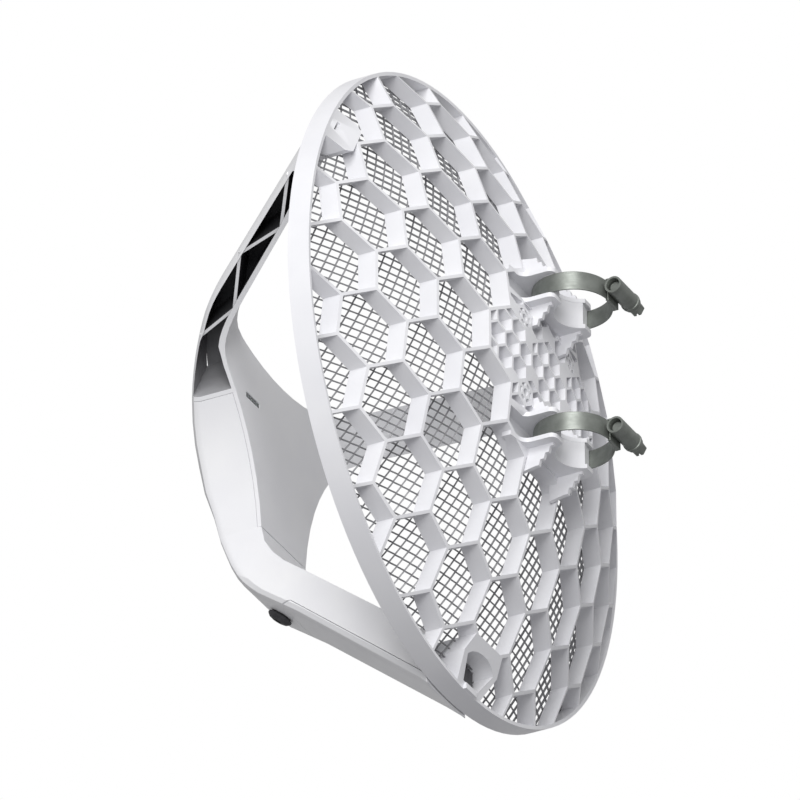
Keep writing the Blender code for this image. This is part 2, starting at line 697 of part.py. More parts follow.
# ---- clamps ----------------------------------------------------------------
def buildClamp(label, level, steel):
    bandCentreY = MAST_DIAMETER / 2.0 + GAP - BAND_INNER_RADIUS
    low = level - BAND_WIDTH / 2.0
    rings = []
    outerRadius = BAND_INNER_RADIUS + BAND_THICKNESS
    for radius, z in ((outerRadius, low), (outerRadius, low + BAND_WIDTH),
                      (BAND_INNER_RADIUS, low + BAND_WIDTH), (BAND_INNER_RADIUS, low)):
        rings.append([(x, y, z) for x, y in circle(radius, 64, (0.0, bandCentreY))])
    addObject(f"clamp_band_{label}", loft("band", rings, closed=True), steel, 30.0)

    tube = WORM_HOUSING_DIAMETER / 2.0
    axisY = bandCentreY + outerRadius + GAP + tube
    bore = WORM_SCREW_DIAMETER / 2.0 + GAP
    length = WORM_HOUSING_LENGTH
    start = (WORM_HOUSING_START_X, axisY, level)
    profile = [(0.0, bore), (0.0, tube), (length - 2.4, tube), (length - 2.0, tube + 0.5),
               (length - 0.6, tube + 0.5), (length, tube - 0.4), (length, bore), (0.0, bore)]
    housing = addObject(f"worm_housing_{label}", turned("worm_housing", profile, start, (-1, 0, 0), 28),
                        steel, 35.0)
    reach = outerRadius + GAP
    under = arc((0.0, bandCentreY), reach, 84.0, 116.0, 7)
    strapLow = level - BAND_WIDTH / 2.0 - GAP - SADDLE_STRAP
    roof = under + [(under[-1][0], axisY - bore - 0.5), (under[0][0], axisY - bore - 0.5)]
    strapHigh = level + BAND_WIDTH / 2.0 + GAP + SADDLE_STRAP
    saddle = prism("saddle", roof, lambda u, v, z: (u, v, z), strapLow, strapHigh)
    combine(housing, helper(f"worm_saddle_{label}", saddle, steel), "UNION")
    for side in (-1, 1):
        near = level + side * (BAND_WIDTH / 2.0 + GAP)
        far = near + side * SADDLE_STRAP
        inner = arc((0.0, bandCentreY), BAND_INNER_RADIUS + 0.2, 84.0, 116.0, 7)
        outline = list(reversed(inner)) + [(under[0][0], under[0][1] + 1.0),
                                           (under[-1][0], under[-1][1] + 1.0)]
        cheek = prism("cheek", outline, lambda u, v, z: (u, v, z), min(near, far), max(near, far))
        combine(housing, helper(f"worm_cheek_{label}_{side}", cheek, steel), "UNION")

    screw = WORM_SCREW_DIAMETER / 2.0
    flats = HEX_HEAD_FLATS / math.sqrt(3.0)
    profile = [(3.0, 0.0), (3.0, screw - 0.8), (3.8, screw), (length + GAP, screw), (length + GAP, 5.2),
               (length + GAP + 1.6, 5.2), (length + GAP + 1.6, 3.4), (length + GAP + 1.9, 3.4),
               (length + GAP + 1.9, 0.0)]
    shaft = turned("worm_screw", profile, start, (-1, 0, 0), 24)
    body = addObject(f"worm_screw_{label}", shaft, steel, 35.0,
                     origin=start)
    headStart = WORM_HOUSING_START_X - length - GAP - 1.2
    hexOutline = circle(flats, 6)
    head = prism("hex", hexOutline, lambda u, v, x: (x, axisY + u, level + v),
                 headStart - HEX_HEAD_LENGTH, headStart)
    combine(body, helper(f"hex_head_{label}", head, steel), "UNION")
    slot = boxMesh("slot", (headStart - HEX_HEAD_LENGTH - 1.0, axisY - 0.6, level - 8.0),
                   (headStart - HEX_HEAD_LENGTH + 2.0, axisY + 0.6, level + 8.0))
    combine(body, helper(f"head_slot_{label}", slot, steel), "DIFFERENCE")


# ---- radio head ------------------------------------------------------------
def interpolate(points, position):
    for (lowX, lowY), (highX, highY) in zip(points, points[1:]):
        if position <= highX:
            return lowY + (highY - lowY) * (position - lowX) / (highX - lowX)
    (lowX, lowY), (highX, highY) = points[-2:]
    return lowY + (highY - lowY) * (position - lowX) / (highX - lowX)


def crownHeight(radius):
    return HEAD_FRONT_HEIGHT - HEAD_CROWN * radius * radius


def limbReach(distance):
    """Place along a limb, with its straight part drawn out to meet the rim."""
    if distance <= STRAIGHT_START:
        return distance
    return STRAIGHT_START + (distance - STRAIGHT_START) * STRAIGHT_RUN / (DISH_RADIUS - STRAIGHT_START)


def frontHeight(distance, isLeg):
    """Height of the head's outer face above the rear rim plane."""
    distance = limbReach(distance)
    if distance <= CROWN_REACH:
        return crownHeight(distance)
    if isLeg:
        return interpolate([(CROWN_REACH, crownHeight(CROWN_REACH)), (68, 148.5), (89, 140.5), (100, 133.0),
                            (108, 124.5), (118, 110.8), (LEG_COVER_START + 7.0, 100.0),
                            (190, 22.0)], distance)
    knee, after = 100.0, 116.0
    if distance <= knee:
        return crownHeight(distance)
    kneeSlope = 2.0 * HEAD_CROWN * knee
    run = min(distance, after) - knee
    height = crownHeight(knee) - kneeSlope * run
    height -= (ARM_SLOPE - kneeSlope) * run * run / (2.0 * (after - knee))
    return height - ARM_SLOPE * max(0.0, distance - after)


def rearHeight(distance, isLeg):
    """Height of the head's dish-facing side above the rear rim plane."""
    distance = limbReach(distance)
    flat = HEAD_REAR_HEIGHT
    if isLeg:
        return interpolate([(0, flat), (68, flat), (76, 117.2), (84, 112.5), (92, 105.0), (103, 90.5),
                            (146, 35.5), (166, 10.0)], distance)
    return interpolate([(0, flat), (70, flat), (77, 118.2), (82, 116.4), (87, 113.4), (92, 109.3),
                        (97, 104.4), (102, 98.9), (108, 92.0), (146, 46.7), (176, 9.7)], distance)


def seamHeight(distance):
    """Parting line between the leg and its cable cover."""
    return 95.6 - 1.2226 * (limbReach(distance) - 123.6)


def filletPoint(centre, radius, along, across, position):
    """Point of a fillet circle whose coordinate along a limb equals position."""
    centreAlong = centre[0] * along[0] + centre[1] * along[1]
    centreAcross = centre[0] * across[0] + centre[1] * across[1]
    run = position - centreAlong
    side = math.copysign(1.0, centreAcross)
    offset = centreAcross - side * math.sqrt(radius * radius - run * run)
    return (along[0] * position + across[0] * offset, along[1] * position + across[1] * offset)


def armDirection():
    turn = math.radians(ARM_ANGLE)
    return (math.cos(turn), math.sin(turn)), (-math.sin(turn), math.cos(turn))


def topFillet():
    """Circle that joins the two arms over the top of the hub."""
    (alongX, _), _ = armDirection()
    radius = (HUB_TOP * alongX - ARM_HALF_WIDTH) / (1.0 - alongX)
    return (0.0, HUB_TOP + radius), radius


def sideFillet():
    """Circle tangent to the leg's side and to the arm's lower side."""
    _, (acrossX, acrossZ) = armDirection()
    radius = SIDE_FILLET
    rise = (-ARM_HALF_WIDTH - radius - acrossX * (LEG_HALF_WIDTH + radius)) / acrossZ
    return (LEG_HALF_WIDTH + radius, rise), radius


def sideCorner():
    """Point of the side fillet on the ray halfway between the arm and the leg."""
    centre, radius = sideFillet()
    turn = math.radians(-30.0)
    ray = (math.cos(turn), math.sin(turn))
    near = centre[0] * ray[0] + centre[1] * ray[1]
    apart = centre[0] * ray[1] - centre[1] * ray[0]
    reach = near - math.sqrt(radius * radius - apart * apart)
    return (ray[0] * reach, ray[1] * reach)


def limbStation(limb, position, share):
    """Axis point and the two outline points of a head section; share 0 is the hub's own corner."""
    along, across = armDirection()
    if limb == "leg":
        along, across = (0.0, -1.0), (1.0, 0.0)
        corner = sideCorner()
        if share == 0.0:
            return (0.0, 0.0), corner, (-corner[0], corner[1])
        centre, radius = sideFillet()
        where = -corner[1] + (position / share + corner[1]) * share if share < 1.0 else position
        if where < -centre[1]:
            right = filletPoint(centre, radius, along, across, where)
        else:
            straight = (where + centre[1]) / (-centre[1] + DISH_RADIUS * 0.55)
            right = (LEG_HALF_WIDTH + (LEG_END_HALF_WIDTH - LEG_HALF_WIDTH) * straight, -where)
        return (0.0, -position), right, (-right[0], right[1])
    (top, topRadius), (side, sideRadius) = topFillet(), sideFillet()
    if share == 0.0:
        return (0.0, 0.0), (0.0, HUB_TOP), sideCorner()
    ends = []
    for centre, radius, corner, sign in ((top, topRadius, (0.0, HUB_TOP), 1.0),
                                         (side, sideRadius, sideCorner(), -1.0)):
        first = corner[0] * along[0] + corner[1] * along[1]
        where = first + (position / share - first) * share if share < 1.0 else position
        tangent = centre[0] * along[0] + centre[1] * along[1]
        if where < tangent:
            ends.append(filletPoint(centre, radius, along, across, where))
        else:
            ends.append((along[0] * where + across[0] * ARM_HALF_WIDTH * sign,
                         along[1] * where + across[1] * ARM_HALF_WIDTH * sign))
    return (along[0] * position, along[1] * position), ends[0], ends[1]


def sectionPoints(limb, position, share, inset):
    """Points across a section: (x, z, distance for the height curves, drop of the rounded edge)."""
    axis, first, last = limbStation(limb, position, share)
    row = []
    for end, order in ((first, EDGE_INSETS), (last, EDGE_INSETS[::-1])):
        length = math.dist(axis, end)
        for step, drop in order:
            part = max(0.02, 1.0 - (inset + step) / length)
            row.append((axis[0] + (end[0] - axis[0]) * part, axis[1] + (end[1] - axis[1]) * part, drop))
        if end is first:
            row.append((axis[0], axis[1], 0.0))
    radial = 1.0 if limb == "arm" else max(0.0, 1.0 - share * 1.05)
    out = []
    for x, z, drop in row:
        radius = math.hypot(x, z)
        along = -z if limb == "leg" else radius
        out.append((x, z, along + (radius - along) * radial, drop))
    return out


def headBody(name, parts, inset=0.0):
    """Closed body from limb sections.

    parts: (limb, mirrored, sections); a section is (position, share, low, high), and low and
    high give heights.  Limbs that start at share 0 meet in the middle of the hub.
    """
    points = []
    faces = []
    for limb, mirrored, sections in parts:
        rows = []
        for position, share, low, high in sections:
            row = []
            for x, z, distance, drop in sectionPoints(limb, position, share, inset):
                x = -x if mirrored else x
                top = high(distance, limb == "leg", drop)
                bottom = min(low(distance, limb == "leg", drop), top - 0.4)
                row.append((len(points), len(points) + 1))
                points.append((x, RIM_REAR_Y - bottom, z))
                points.append((x, RIM_REAR_Y - top, z))
            rows.append(row)
        last = len(rows[0]) - 1
        for here, there in zip(rows, rows[1:]):
            for index in range(last):
                for layer in (0, 1):
                    faces.append((here[index][layer], here[index + 1][layer],
                                  there[index + 1][layer], there[index][layer]))
            for index in (0, last):
                faces.append((here[index][0], here[index][1], there[index][1], there[index][0]))
        capped = [rows[-1]] if sections[0][1] == 0.0 else [rows[0], rows[-1]]
        for row in capped:
            for index in range(last):
                faces.append((row[index][0], row[index + 1][0], row[index + 1][1], row[index][1]))
    mesh = meshFrom(name, points, faces)
    weld(mesh)
    return mesh


def sections(positions, low, high):
    return [(position, 1.0, low, high) for position in positions]


def hubSections(end, low, high):
    """Sections that open out from the hub's corners to a straight one."""
    return [(end * share, share, low, high) for share in (0.0, 0.33, 0.67, 1.0)]


def level(height):
    return lambda distance, isLeg, drop: height


def slopeWall(distance):
    """Wall measured along Y, longer where the wall itself leans."""
    return SHELL_WALL * (1.0 if distance < 80.0 else 1.5)


def front(walls=0.0):
    """The outer face, rounded down at its sides, stopping just above the flat tips."""
    def height(distance, isLeg, drop):
        outer = max(frontHeight(distance, isLeg) - drop, HEAD_END_HEIGHT + 0.6)
        return outer - walls * slopeWall(distance)
    return height


def rear(walls=0.0):
    return lambda distance, isLeg, drop: (max(rearHeight(distance, isLeg), HEAD_END_HEIGHT)
                                          + walls * slopeWall(distance))


def seam(shift=0.0):
    """Parting line between the leg and its cable cover."""
    return lambda distance, isLeg, drop: max(seamHeight(distance), HEAD_END_HEIGHT) + shift


def bothArms(rows):
    return [("arm", False, rows), ("arm", True, rows)]


def addTongue(angle, size, finish, owner, label):
    """Latch tongue at a limb's tip, pointing into its socket in the dish frame."""
    low, high, half = size
    mesh = prism("tongue", rectangle(low, high, half), polarPlace(angle),
                 RIM_REAR_Y - HEAD_END_HEIGHT + TONGUE_LENGTH, RIM_REAR_Y - HEAD_END_HEIGHT - 1.2)
    combine(owner, helper(f"tongue_{label}", mesh, finish), "UNION")


def buildHeadBase(finish):
    """Dish-facing panel with the two open-sided arms."""
    floor = level(HEAD_REAR_HEIGHT)
    panelTop = level(HEAD_REAR_HEIGHT + SHELL_WALL)
    arm = hubSections(ARM_SPLIT, floor, panelTop)
    arm += sections((ARM_SPLIT + 0.05,) + ARM_STATIONS, rear(), front())
    parts = bothArms(arm) + [("leg", False, hubSections(PANEL_END, floor, panelTop))]
    base = addObject("head_base", headBody("head_base", parts), finish, 30.0)
    for side in (-1, 1):
        combine(base, helper(f"arm_channel_{side}", channelMesh(side), finish), "DIFFERENCE")
        for index, rib in enumerate(ribMeshes(side)):
            combine(base, helper(f"arm_rib_{side}_{index}", rib, finish), "UNION")
        addTongue(90.0 - side * (90.0 - ARM_ANGLE), ARM_TONGUE, finish, base, f"arm_{side}")
    start = HEAD_REAR_HEIGHT + 1.0
    length = BOARD_HEIGHT - GAP - start
    for index, (x, z) in enumerate(BOARD_POSTS):
        post = turned("post", [(0.0, 0.0), (0.0, POST_RADIUS), (length, POST_RADIUS), (length, 0.0)],
                      (x, RIM_REAR_Y - start, z), (0, -1, 0), 12)
        combine(base, helper(f"post_{index}", post, finish), "UNION")
        bore = SCREW_RADIUS + GAP
        hole = turned("hole", [(0.0, 0.0), (0.0, bore), (12.0, bore), (12.0, 0.0)],
                      (x, RIM_REAR_Y - HEAD_REAR_HEIGHT - SHELL_WALL + 0.6, z), (0, -1, 0), 10)
        combine(base, helper(f"post_hole_{index}", hole, finish), "DIFFERENCE")
    window = boxMesh("window", *lightPipeBox(GAP, 2.0))
    combine(base, helper("light_window", window, finish), "DIFFERENCE")


def armFrame(side):
    """Unit vectors of an arm in (X, Z): along it, and across it towards its open lower side."""
    along, across = armDirection()
    return (along[0] * side, along[1]), (-across[0] * side, -across[1])


def channelMesh(side):
    """Cavity of an arm, open on its lower side, following the front and rear curves."""
    along, lower = armFrame(side)
    rings = []
    stations = [ARM_SPLIT + SHELL_WALL] + list(CHANNEL_STATIONS)
    for position in stations:
        half = ARM_HALF_WIDTH
        if position < topTangent():
            _, upperEnd, _ = limbStation("arm", position, 1.0)
            half = math.dist((armDirection()[0][0] * position, armDirection()[0][1] * position), upperEnd)
        ring = []
        corners = ((-(half - WEB_WALL), 1), (half + 14.0, 1), (half + 14.0, 0), (-(half - WEB_WALL), 0))
        for offset, isTop in corners:
            if isTop:
                height = frontHeight(position, False) - SHELL_WALL * (1.05 if position < 90.0 else 1.6)
            else:
                height = max(rearHeight(position, False), HEAD_END_HEIGHT) + slopeWall(position)
            ring.append((along[0] * position + lower[0] * offset, RIM_REAR_Y - height,
                         along[1] * position + lower[1] * offset))
        rings.append(ring)
    return loft("channel", rings)


def topTangent():
    along, _ = armDirection()
    centre, _ = topFillet()
    return centre[0] * along[0] + centre[1] * along[1]


def ribMeshes(side):
    """Zigzag ribs across an arm's channel."""
    along, lower = armFrame(side)
    meshes = []
    for (startU, startIsFront), (endU, endIsFront) in zip(RIB_NODES, RIB_NODES[1:]):
        ends = []
        for position, isFront in ((startU, startIsFront), (endU, endIsFront)):
            height = frontHeight(position, False) - 2.0 if isFront else rearHeight(position, False) + 2.0
            ends.append(Vector((position, height)))
        run = (ends[1] - ends[0]).normalized()
        thick = Vector((-run.y, run.x)) * ARM_RIB / 2.0
        outline = [ends[0] + thick, ends[0] - thick, ends[1] - thick, ends[1] + thick]

        def place(u, v, offset):
            return (along[0] * u + lower[0] * offset, RIM_REAR_Y - v, along[1] * u + lower[1] * offset)

        meshes.append(prism("rib", [tuple(point) for point in outline], place,
                            -(ARM_HALF_WIDTH - 1.2), ARM_HALF_WIDTH - RIB_RECESS))
    return meshes


def buildHeadShell(finish):
    """Front shell: the hub's crown and side walls, and the leg as an open trough."""
    split = level(HEAD_REAR_HEIGHT + SHELL_WALL + GAP)
    leg = hubSections(PANEL_END, split, front())
    leg += sections((PANEL_END + GAP,) + LEG_BEND_STATIONS + (LEG_COVER_START,), rear(), front())
    leg += sections((LEG_COVER_START + GAP,) + LEG_STATIONS, rear(), seam())
    parts = bothArms(hubSections(ARM_SPLIT - GAP, split, front())) + [("leg", False, leg)]
    shell = addObject("head_shell", headBody("head_shell", parts), finish, 30.0)

    wall = SHELL_WALL
    below = level(HEAD_REAR_HEIGHT - 5.0)
    hollow = hubSections(PANEL_END + GAP + 0.1, below, front(1.0))
    hollow += sections((PANEL_END + GAP + 0.4,) + LEG_BEND_STATIONS + (LEG_COVER_START - wall - 0.3,),
                       rear(1.0), front(1.0))
    hollow += sections((LEG_COVER_START - wall, LEG_COVER_START + wall), rear(1.0), seam(-5.0))
    hollow += sections((LEG_COVER_START + wall + 0.3,) + LEG_STATIONS[:-1] + (LEG_STATIONS[-1] - 4.0,),
                       rear(1.0), seam(8.0))
    arms = bothArms(hubSections(ARM_SPLIT - GAP - wall, below, front(1.0)))
    mesh = headBody("shell_hollow", arms + [("leg", False, hollow)], wall)
    combine(shell, helper("shell_hollow", mesh, finish), "DIFFERENCE")
    addTongue(270.0, LEG_TONGUE, finish, shell, "leg")
    place, direction = glandPlace()
    bore = GLAND_RADIUS + GAP
    hole = turned("gland_hole", [(-7.0, 0.0), (-7.0, bore), (8.0, bore), (8.0, 0.0)], place, direction, 20)
    combine(shell, helper("gland_hole", hole, finish), "DIFFERENCE")


def buildLegCover(finish):
    """Cable cover: the crowned underside of the leg, which pulls straight off."""
    rows = sections((LEG_COVER_START + GAP * 2.0,) + COVER_STATIONS, seam(GAP * 1.6), front())
    wall = SHELL_WALL
    inside = (LEG_COVER_START + GAP * 2.0 + wall,) + COVER_STATIONS[:-1]
    inner = headBody("cover_hollow", [("leg", False, sections(inside, level(0.0), front(0.8)))], wall)
    cover = addObject("leg_cover", headBody("leg_cover", [("leg", False, rows)]), finish, 30.0,
                      origin=coverOrigin())
    combine(cover, helper("cover_hollow", inner, finish), "DIFFERENCE")


def coverOrigin():
    middle = (LEG_COVER_START + DISH_RADIUS) / 2.0
    return (0.0, RIM_REAR_Y - seamHeight(middle), -middle)


def glandPlace():
    distance = GLAND_DISTANCE
    slope = (frontHeight(distance + 1.0, True) - frontHeight(distance - 1.0, True)) / 2.0
    normal = Vector((0.0, -1.0, slope)).normalized()
    return (0.0, RIM_REAR_Y - frontHeight(distance, True), -distance), tuple(normal)


def buildGland(finish):
    place, direction = glandPlace()
    profile = [(-5.5, 2.4), (-5.5, GLAND_RADIUS - 0.8), (-4.5, GLAND_RADIUS), (0.9, GLAND_RADIUS),
               (0.9, GLAND_FLANGE), (2.2, GLAND_FLANGE), (3.6, GLAND_FLANGE - 1.6),
               (4.2, GLAND_FLANGE - 3.6),
               (4.2, 2.4), (-5.5, 2.4)]
    addObject("cable_gland", turned("cable_gland", profile, place, direction, 28), finish, 40.0)


# ---- inside the head -------------------------------------------------------
def headBox(lowX, highX, lowH, highH, lowZ, highZ, shrink=0.0):
    """Box from heights above the rear rim plane, as (low corner, high corner)."""
    return ((lowX - shrink, RIM_REAR_Y - highH - shrink, lowZ - shrink),
            (highX + shrink, RIM_REAR_Y - lowH + shrink, highZ + shrink))


def lightPipeBox(grow=0.0, deeper=0.0):
    x, z = LIGHT_PIPE_CENTRE
    return headBox(x - 8.0, x + 8.0, HEAD_REAR_HEIGHT + 0.2 - deeper, BOARD_HEIGHT - GAP,
                   z - 1.5, z + 1.5, grow)


def boardMesh():
    half = [(42.0, 26.0), (42.0, 4.0), (30.0, -18.0), (20.0, -38.0), (20.0, -78.0)]
    outline = half + [(-x, z) for x, z in reversed(half)]
    holes = [circle(SCREW_RADIUS + GAP, 10, centre) for centre in BOARD_POSTS]
    triangles = fillPlain(outline, holes)
    loops = [outline] + holes
    flat = [point for loop in loops for point in loop]
    count = len(flat)
    points = [(x, RIM_REAR_Y - BOARD_HEIGHT, z) for x, z in flat]
    points += [(x, RIM_REAR_Y - BOARD_HEIGHT - BOARD_THICKNESS, z) for x, z in flat]
    faces = triangles + [tuple(count + index for index in triangle) for triangle in triangles]
    start = 0
    for loop in loops:
        for index in range(len(loop)):
            after = (index + 1) % len(loop)
            faces.append((start + index, start + after, count + start + after, count + start + index))
        start += len(loop)
    return meshFrom("circuit_board", points, faces)


def fillPlain(outline, holes):
    """Triangles of any outline with convex holes."""
    loops = [outline] + holes
    points = [Vector(point) for loop in loops for point in loop]
    edges = []
    start = 0
    for loop in loops:
        edges += [(start + index, start + (index + 1) % len(loop)) for index in range(len(loop))]
        start += len(loop)
    verts, _, faces, origins, _, _ = delaunay_2d_cdt(points, edges, [], 1, 1e-7)
    kept = []
    for face in faces:
        middle = sum((verts[index] for index in face), Vector((0.0, 0.0))) / len(face)
        if not any(inside(middle, hole) for hole in holes):
            kept.append(tuple(origins[index][0] for index in face))
    return kept


def buildInside(board, metal, plastic, dark, clear, steel):
    top = BOARD_HEIGHT + BOARD_THICKNESS
    addObject("circuit_board", boardMesh(), board)
    patch = headBox(-18.0, 18.0, 122.6, 123.4, -18.0, 18.0)
    addObject("patch_feed", boxMesh("patch_feed", *patch), metal)
    ringOuter = boxMesh("feed_spacer", *headBox(-15.0, 15.0, 123.4 + GAP, BOARD_HEIGHT - GAP, -15.0, 15.0))
    spacer = addObject("feed_spacer", ringOuter, plastic)
    core = boxMesh("core", *headBox(-12.0, 12.0, 120.0, BOARD_HEIGHT + 3.0, -12.0, 12.0))
    combine(spacer, helper("spacer_core", core, plastic), "DIFFERENCE")
    for label, spans in (("large", (-20.0, 6.0, -5.0, 17.0)), ("small", (-16.0, 6.0, -30.0, -10.0))):
        lowX, highX, lowZ, highZ = spans
        can = addObject(f"shield_can_{label}",
                        boxMesh("can", *headBox(lowX, highX, top + GAP, top + 4.0, lowZ, highZ)), metal)
        room = headBox(lowX + 0.6, highX - 0.6, top - 1.0, top + 3.4, lowZ + 0.6, highZ - 0.6)
        hollow = boxMesh("can_hollow", *room)
        combine(can, helper(f"can_hollow_{label}", hollow, metal), "DIFFERENCE")
    jackLow, jackHigh = headBox(-8.0, 8.0, top + GAP, top + 12.5, -70.0, -50.0)
    jack = addObject("network_jack", boxMesh("jack", jackLow, jackHigh), dark)
    port = boxMesh("port", *headBox(-6.1, 6.1, top + 2.4, top + 10.2, -72.0, -56.0))
    combine(jack, helper("jack_port", port, dark), "DIFFERENCE")
    catch = boxMesh("catch", *headBox(-2.4, 2.4, top + 10.0, top + 11.6, -72.0, -57.0))
    combine(jack, helper("jack_catch", catch, dark), "DIFFERENCE")
    bodyLow, bodyHigh = headBox(11.4, 16.6, top + GAP, top + 4.6, -70.0, -64.0)
    switch = addObject("reset_switch", boxMesh("switch", bodyLow, bodyHigh), dark)
    axisHeight = top + 2.5
    bore = turned("bore", [(0.0, 0.0), (0.0, BUTTON_RADIUS + GAP), (6.0, BUTTON_RADIUS + GAP), (6.0, 0.0)],
                  (14.0, RIM_REAR_Y - axisHeight, -66.4), (0, 0, -1), 16)
    combine(switch, helper("switch_bore", bore, dark), "DIFFERENCE")
    start = (14.0, RIM_REAR_Y - axisHeight, -66.4 - GAP - BUTTON_TRAVEL)
    button = turned("reset_button", [(0.0, 0.0), (0.0, BUTTON_RADIUS), (4.4, BUTTON_RADIUS),
                                     (4.8, BUTTON_RADIUS - 0.4),
                                     (4.8, 0.0)], start, (0, 0, -1), 16)
    addObject("reset_button", button, plastic, 40.0, origin=start)
    pipe = addObject("light_pipe", boxMesh("light_pipe", *lightPipeBox()), clear)
    for index in range(4):
        x = LIGHT_PIPE_CENTRE[0] - 8.0 + 3.2 * (index + 1)
        notch = boxMesh("notch", *headBox(x - 0.5, x + 0.5, 110.0, HEAD_REAR_HEIGHT + 1.6,
                                          LIGHT_PIPE_CENTRE[1] - 3.0, LIGHT_PIPE_CENTRE[1] + 3.0))
        combine(pipe, helper(f"pipe_notch_{index}", notch, clear), "DIFFERENCE")
    for index, (x, z) in enumerate(BOARD_POSTS):
        profile = [(0.0, 0.0), (0.0, 1.4), (0.5, 2.0), (1.6, 2.0), (1.6, SCREW_RADIUS),
                   (7.6, SCREW_RADIUS), (8.0, 0.0)]
        screw = turned("board_screw", profile, (x, RIM_REAR_Y - top - GAP - 1.6, z), (0, 1, 0), 12)
        addObject(f"board_screw_{index + 1}", screw, steel, 40.0)


if __name__ == "__main__":
    for old in list(bpy.data.objects):
        bpy.data.objects.remove(old, do_unlink=True)
    white = material("uv_stable_plastic", (0.86, 0.86, 0.87), 0.42)
    wire = material("galvanised_wire", (0.42, 0.42, 0.43), 0.4, 0.8)
    steel = material("clamp_steel", (0.5, 0.52, 0.5), 0.38, 0.9)
    rubber = material("gland_rubber", (0.09, 0.09, 0.1), 0.75)
    board = material("green_laminate", (0.03, 0.2, 0.08), 0.4)
    tin = material("tinned_steel", (0.72, 0.72, 0.7), 0.3, 0.95)
    dark = material("black_plastic", (0.03, 0.03, 0.03), 0.5)
    clear = material("clear_plastic", (0.85, 0.88, 0.9), 0.15)
    buildDishFrame(white)
    buildReflectorMesh(wire)
    for label, height in (("upper", CLAMP_SPACING / 2.0), ("lower", -CLAMP_SPACING / 2.0)):
        buildClamp(label, height, steel)
    buildHeadBase(white)
    buildHeadShell(white)
    buildLegCover(white)
    buildGland(rubber)
    buildInside(board, tin, white, dark, clear, steel)
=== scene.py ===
import math
import bpy
import bmesh
from mathutils import Matrix, Vector
from mathutils.bvhtree import BVHTree


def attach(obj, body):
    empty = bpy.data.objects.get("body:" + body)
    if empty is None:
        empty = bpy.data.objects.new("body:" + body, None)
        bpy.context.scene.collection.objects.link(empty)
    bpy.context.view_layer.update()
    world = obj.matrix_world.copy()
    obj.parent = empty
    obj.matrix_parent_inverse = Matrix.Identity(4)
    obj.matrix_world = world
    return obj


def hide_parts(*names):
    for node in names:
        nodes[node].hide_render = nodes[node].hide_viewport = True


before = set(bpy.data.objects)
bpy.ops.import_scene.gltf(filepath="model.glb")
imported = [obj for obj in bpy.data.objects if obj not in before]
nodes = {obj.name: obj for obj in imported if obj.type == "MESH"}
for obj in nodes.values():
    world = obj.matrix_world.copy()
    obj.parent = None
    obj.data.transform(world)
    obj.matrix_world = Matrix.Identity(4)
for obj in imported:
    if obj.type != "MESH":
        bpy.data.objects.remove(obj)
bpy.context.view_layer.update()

# changeable values, one dictionary per piece (lengths in metres)
cleaning = {"mergeDistance": 0.000002, "flatAngle": 0.6, "normalWeight": 80}
# faces of the leg tongue that get painted shade
paintedShadeLegTongue = {"top": -0.17, "front": -0.0885}
moulding = {"edgeRound": 0.0004, "edgeSteps": 2, "sharpAngle": 32.0}
wireSheet = {"acrossPitch": 0.00513, "leanPitch": 0.00641, "lean": 0.378, "wire": 0.00155,
             "smoothAngle": 50.0, "radius": 0.1928, "sag": 0.0554, "apex": -0.0202, "inFront": 0.0123}
# faces inside the arms' channels that get painted shade
paintedShadeArmChannel = {"armAngle": 30.0, "start": 0.0555, "end": 0.178, "backWall": 0.0114, "flare": 0.1}
steelPiece = {"edgeRound": 0.0002, "edgeSteps": 2, "sharpAngle": 35.0}
stageValues = {"floorHeight": -4.75, "floorLight": "#d3d3d5", "floorDark": "#c8c8ca", "sky": 0.46,
               "keyPlace": (2.7, 1.1, 1.3), "keySize": 1.6, "keyPower": 50.0,
               "fillPlace": (3.9, 1.6, -0.6), "fillSize": 1.6, "fillPower": 78.0}
cameraValues = {"place": (6.2545, 3.0910, -4.2088), "right": (-0.4592, 0.8883, -0.0051),
                "up": (0.4552, 0.2403, 0.8573), "back": (0.7628, 0.3914, -0.5148), "lens": 637.6}


# ---- node helpers
def linearColour(hexText):
    values = []
    for start in (1, 3, 5):
        part = int(hexText[start:start + 2], 16) / 255.0
        values.append(part / 12.92 if part <= 0.04045 else ((part + 0.055) / 1.055) ** 2.4)
    return (*values, 1.0)


def addNode(tree, kind, settings=None, inputs=None):
    node = tree.nodes.new(kind)
    for name, value in (settings or {}).items():
        setattr(node, name, value)
    for name, value in (inputs or {}).items():
        socket = node.inputs[name]
        if isinstance(value, bpy.types.NodeSocket):
            tree.links.new(value, socket)
        else:
            socket.default_value = value
    return node


def newMaterial(name):
    material = bpy.data.materials.new(name)
    material.use_nodes = True
    tree = material.node_tree
    return material, tree, tree.nodes["Principled BSDF"]


def ramp(tree, source, low, high, lowColour, highColour):
    node = addNode(tree, "ShaderNodeMapRange", {"clamp": True},
                   {"Value": source, "From Min": low, "From Max": high})
    mix = addNode(tree, "ShaderNodeMix", {"data_type": "RGBA"}, {"Factor": node.outputs["Result"]})
    mix.inputs["A"].default_value = linearColour(lowColour)
    mix.inputs["B"].default_value = linearColour(highColour)
    return mix.outputs["Result"]


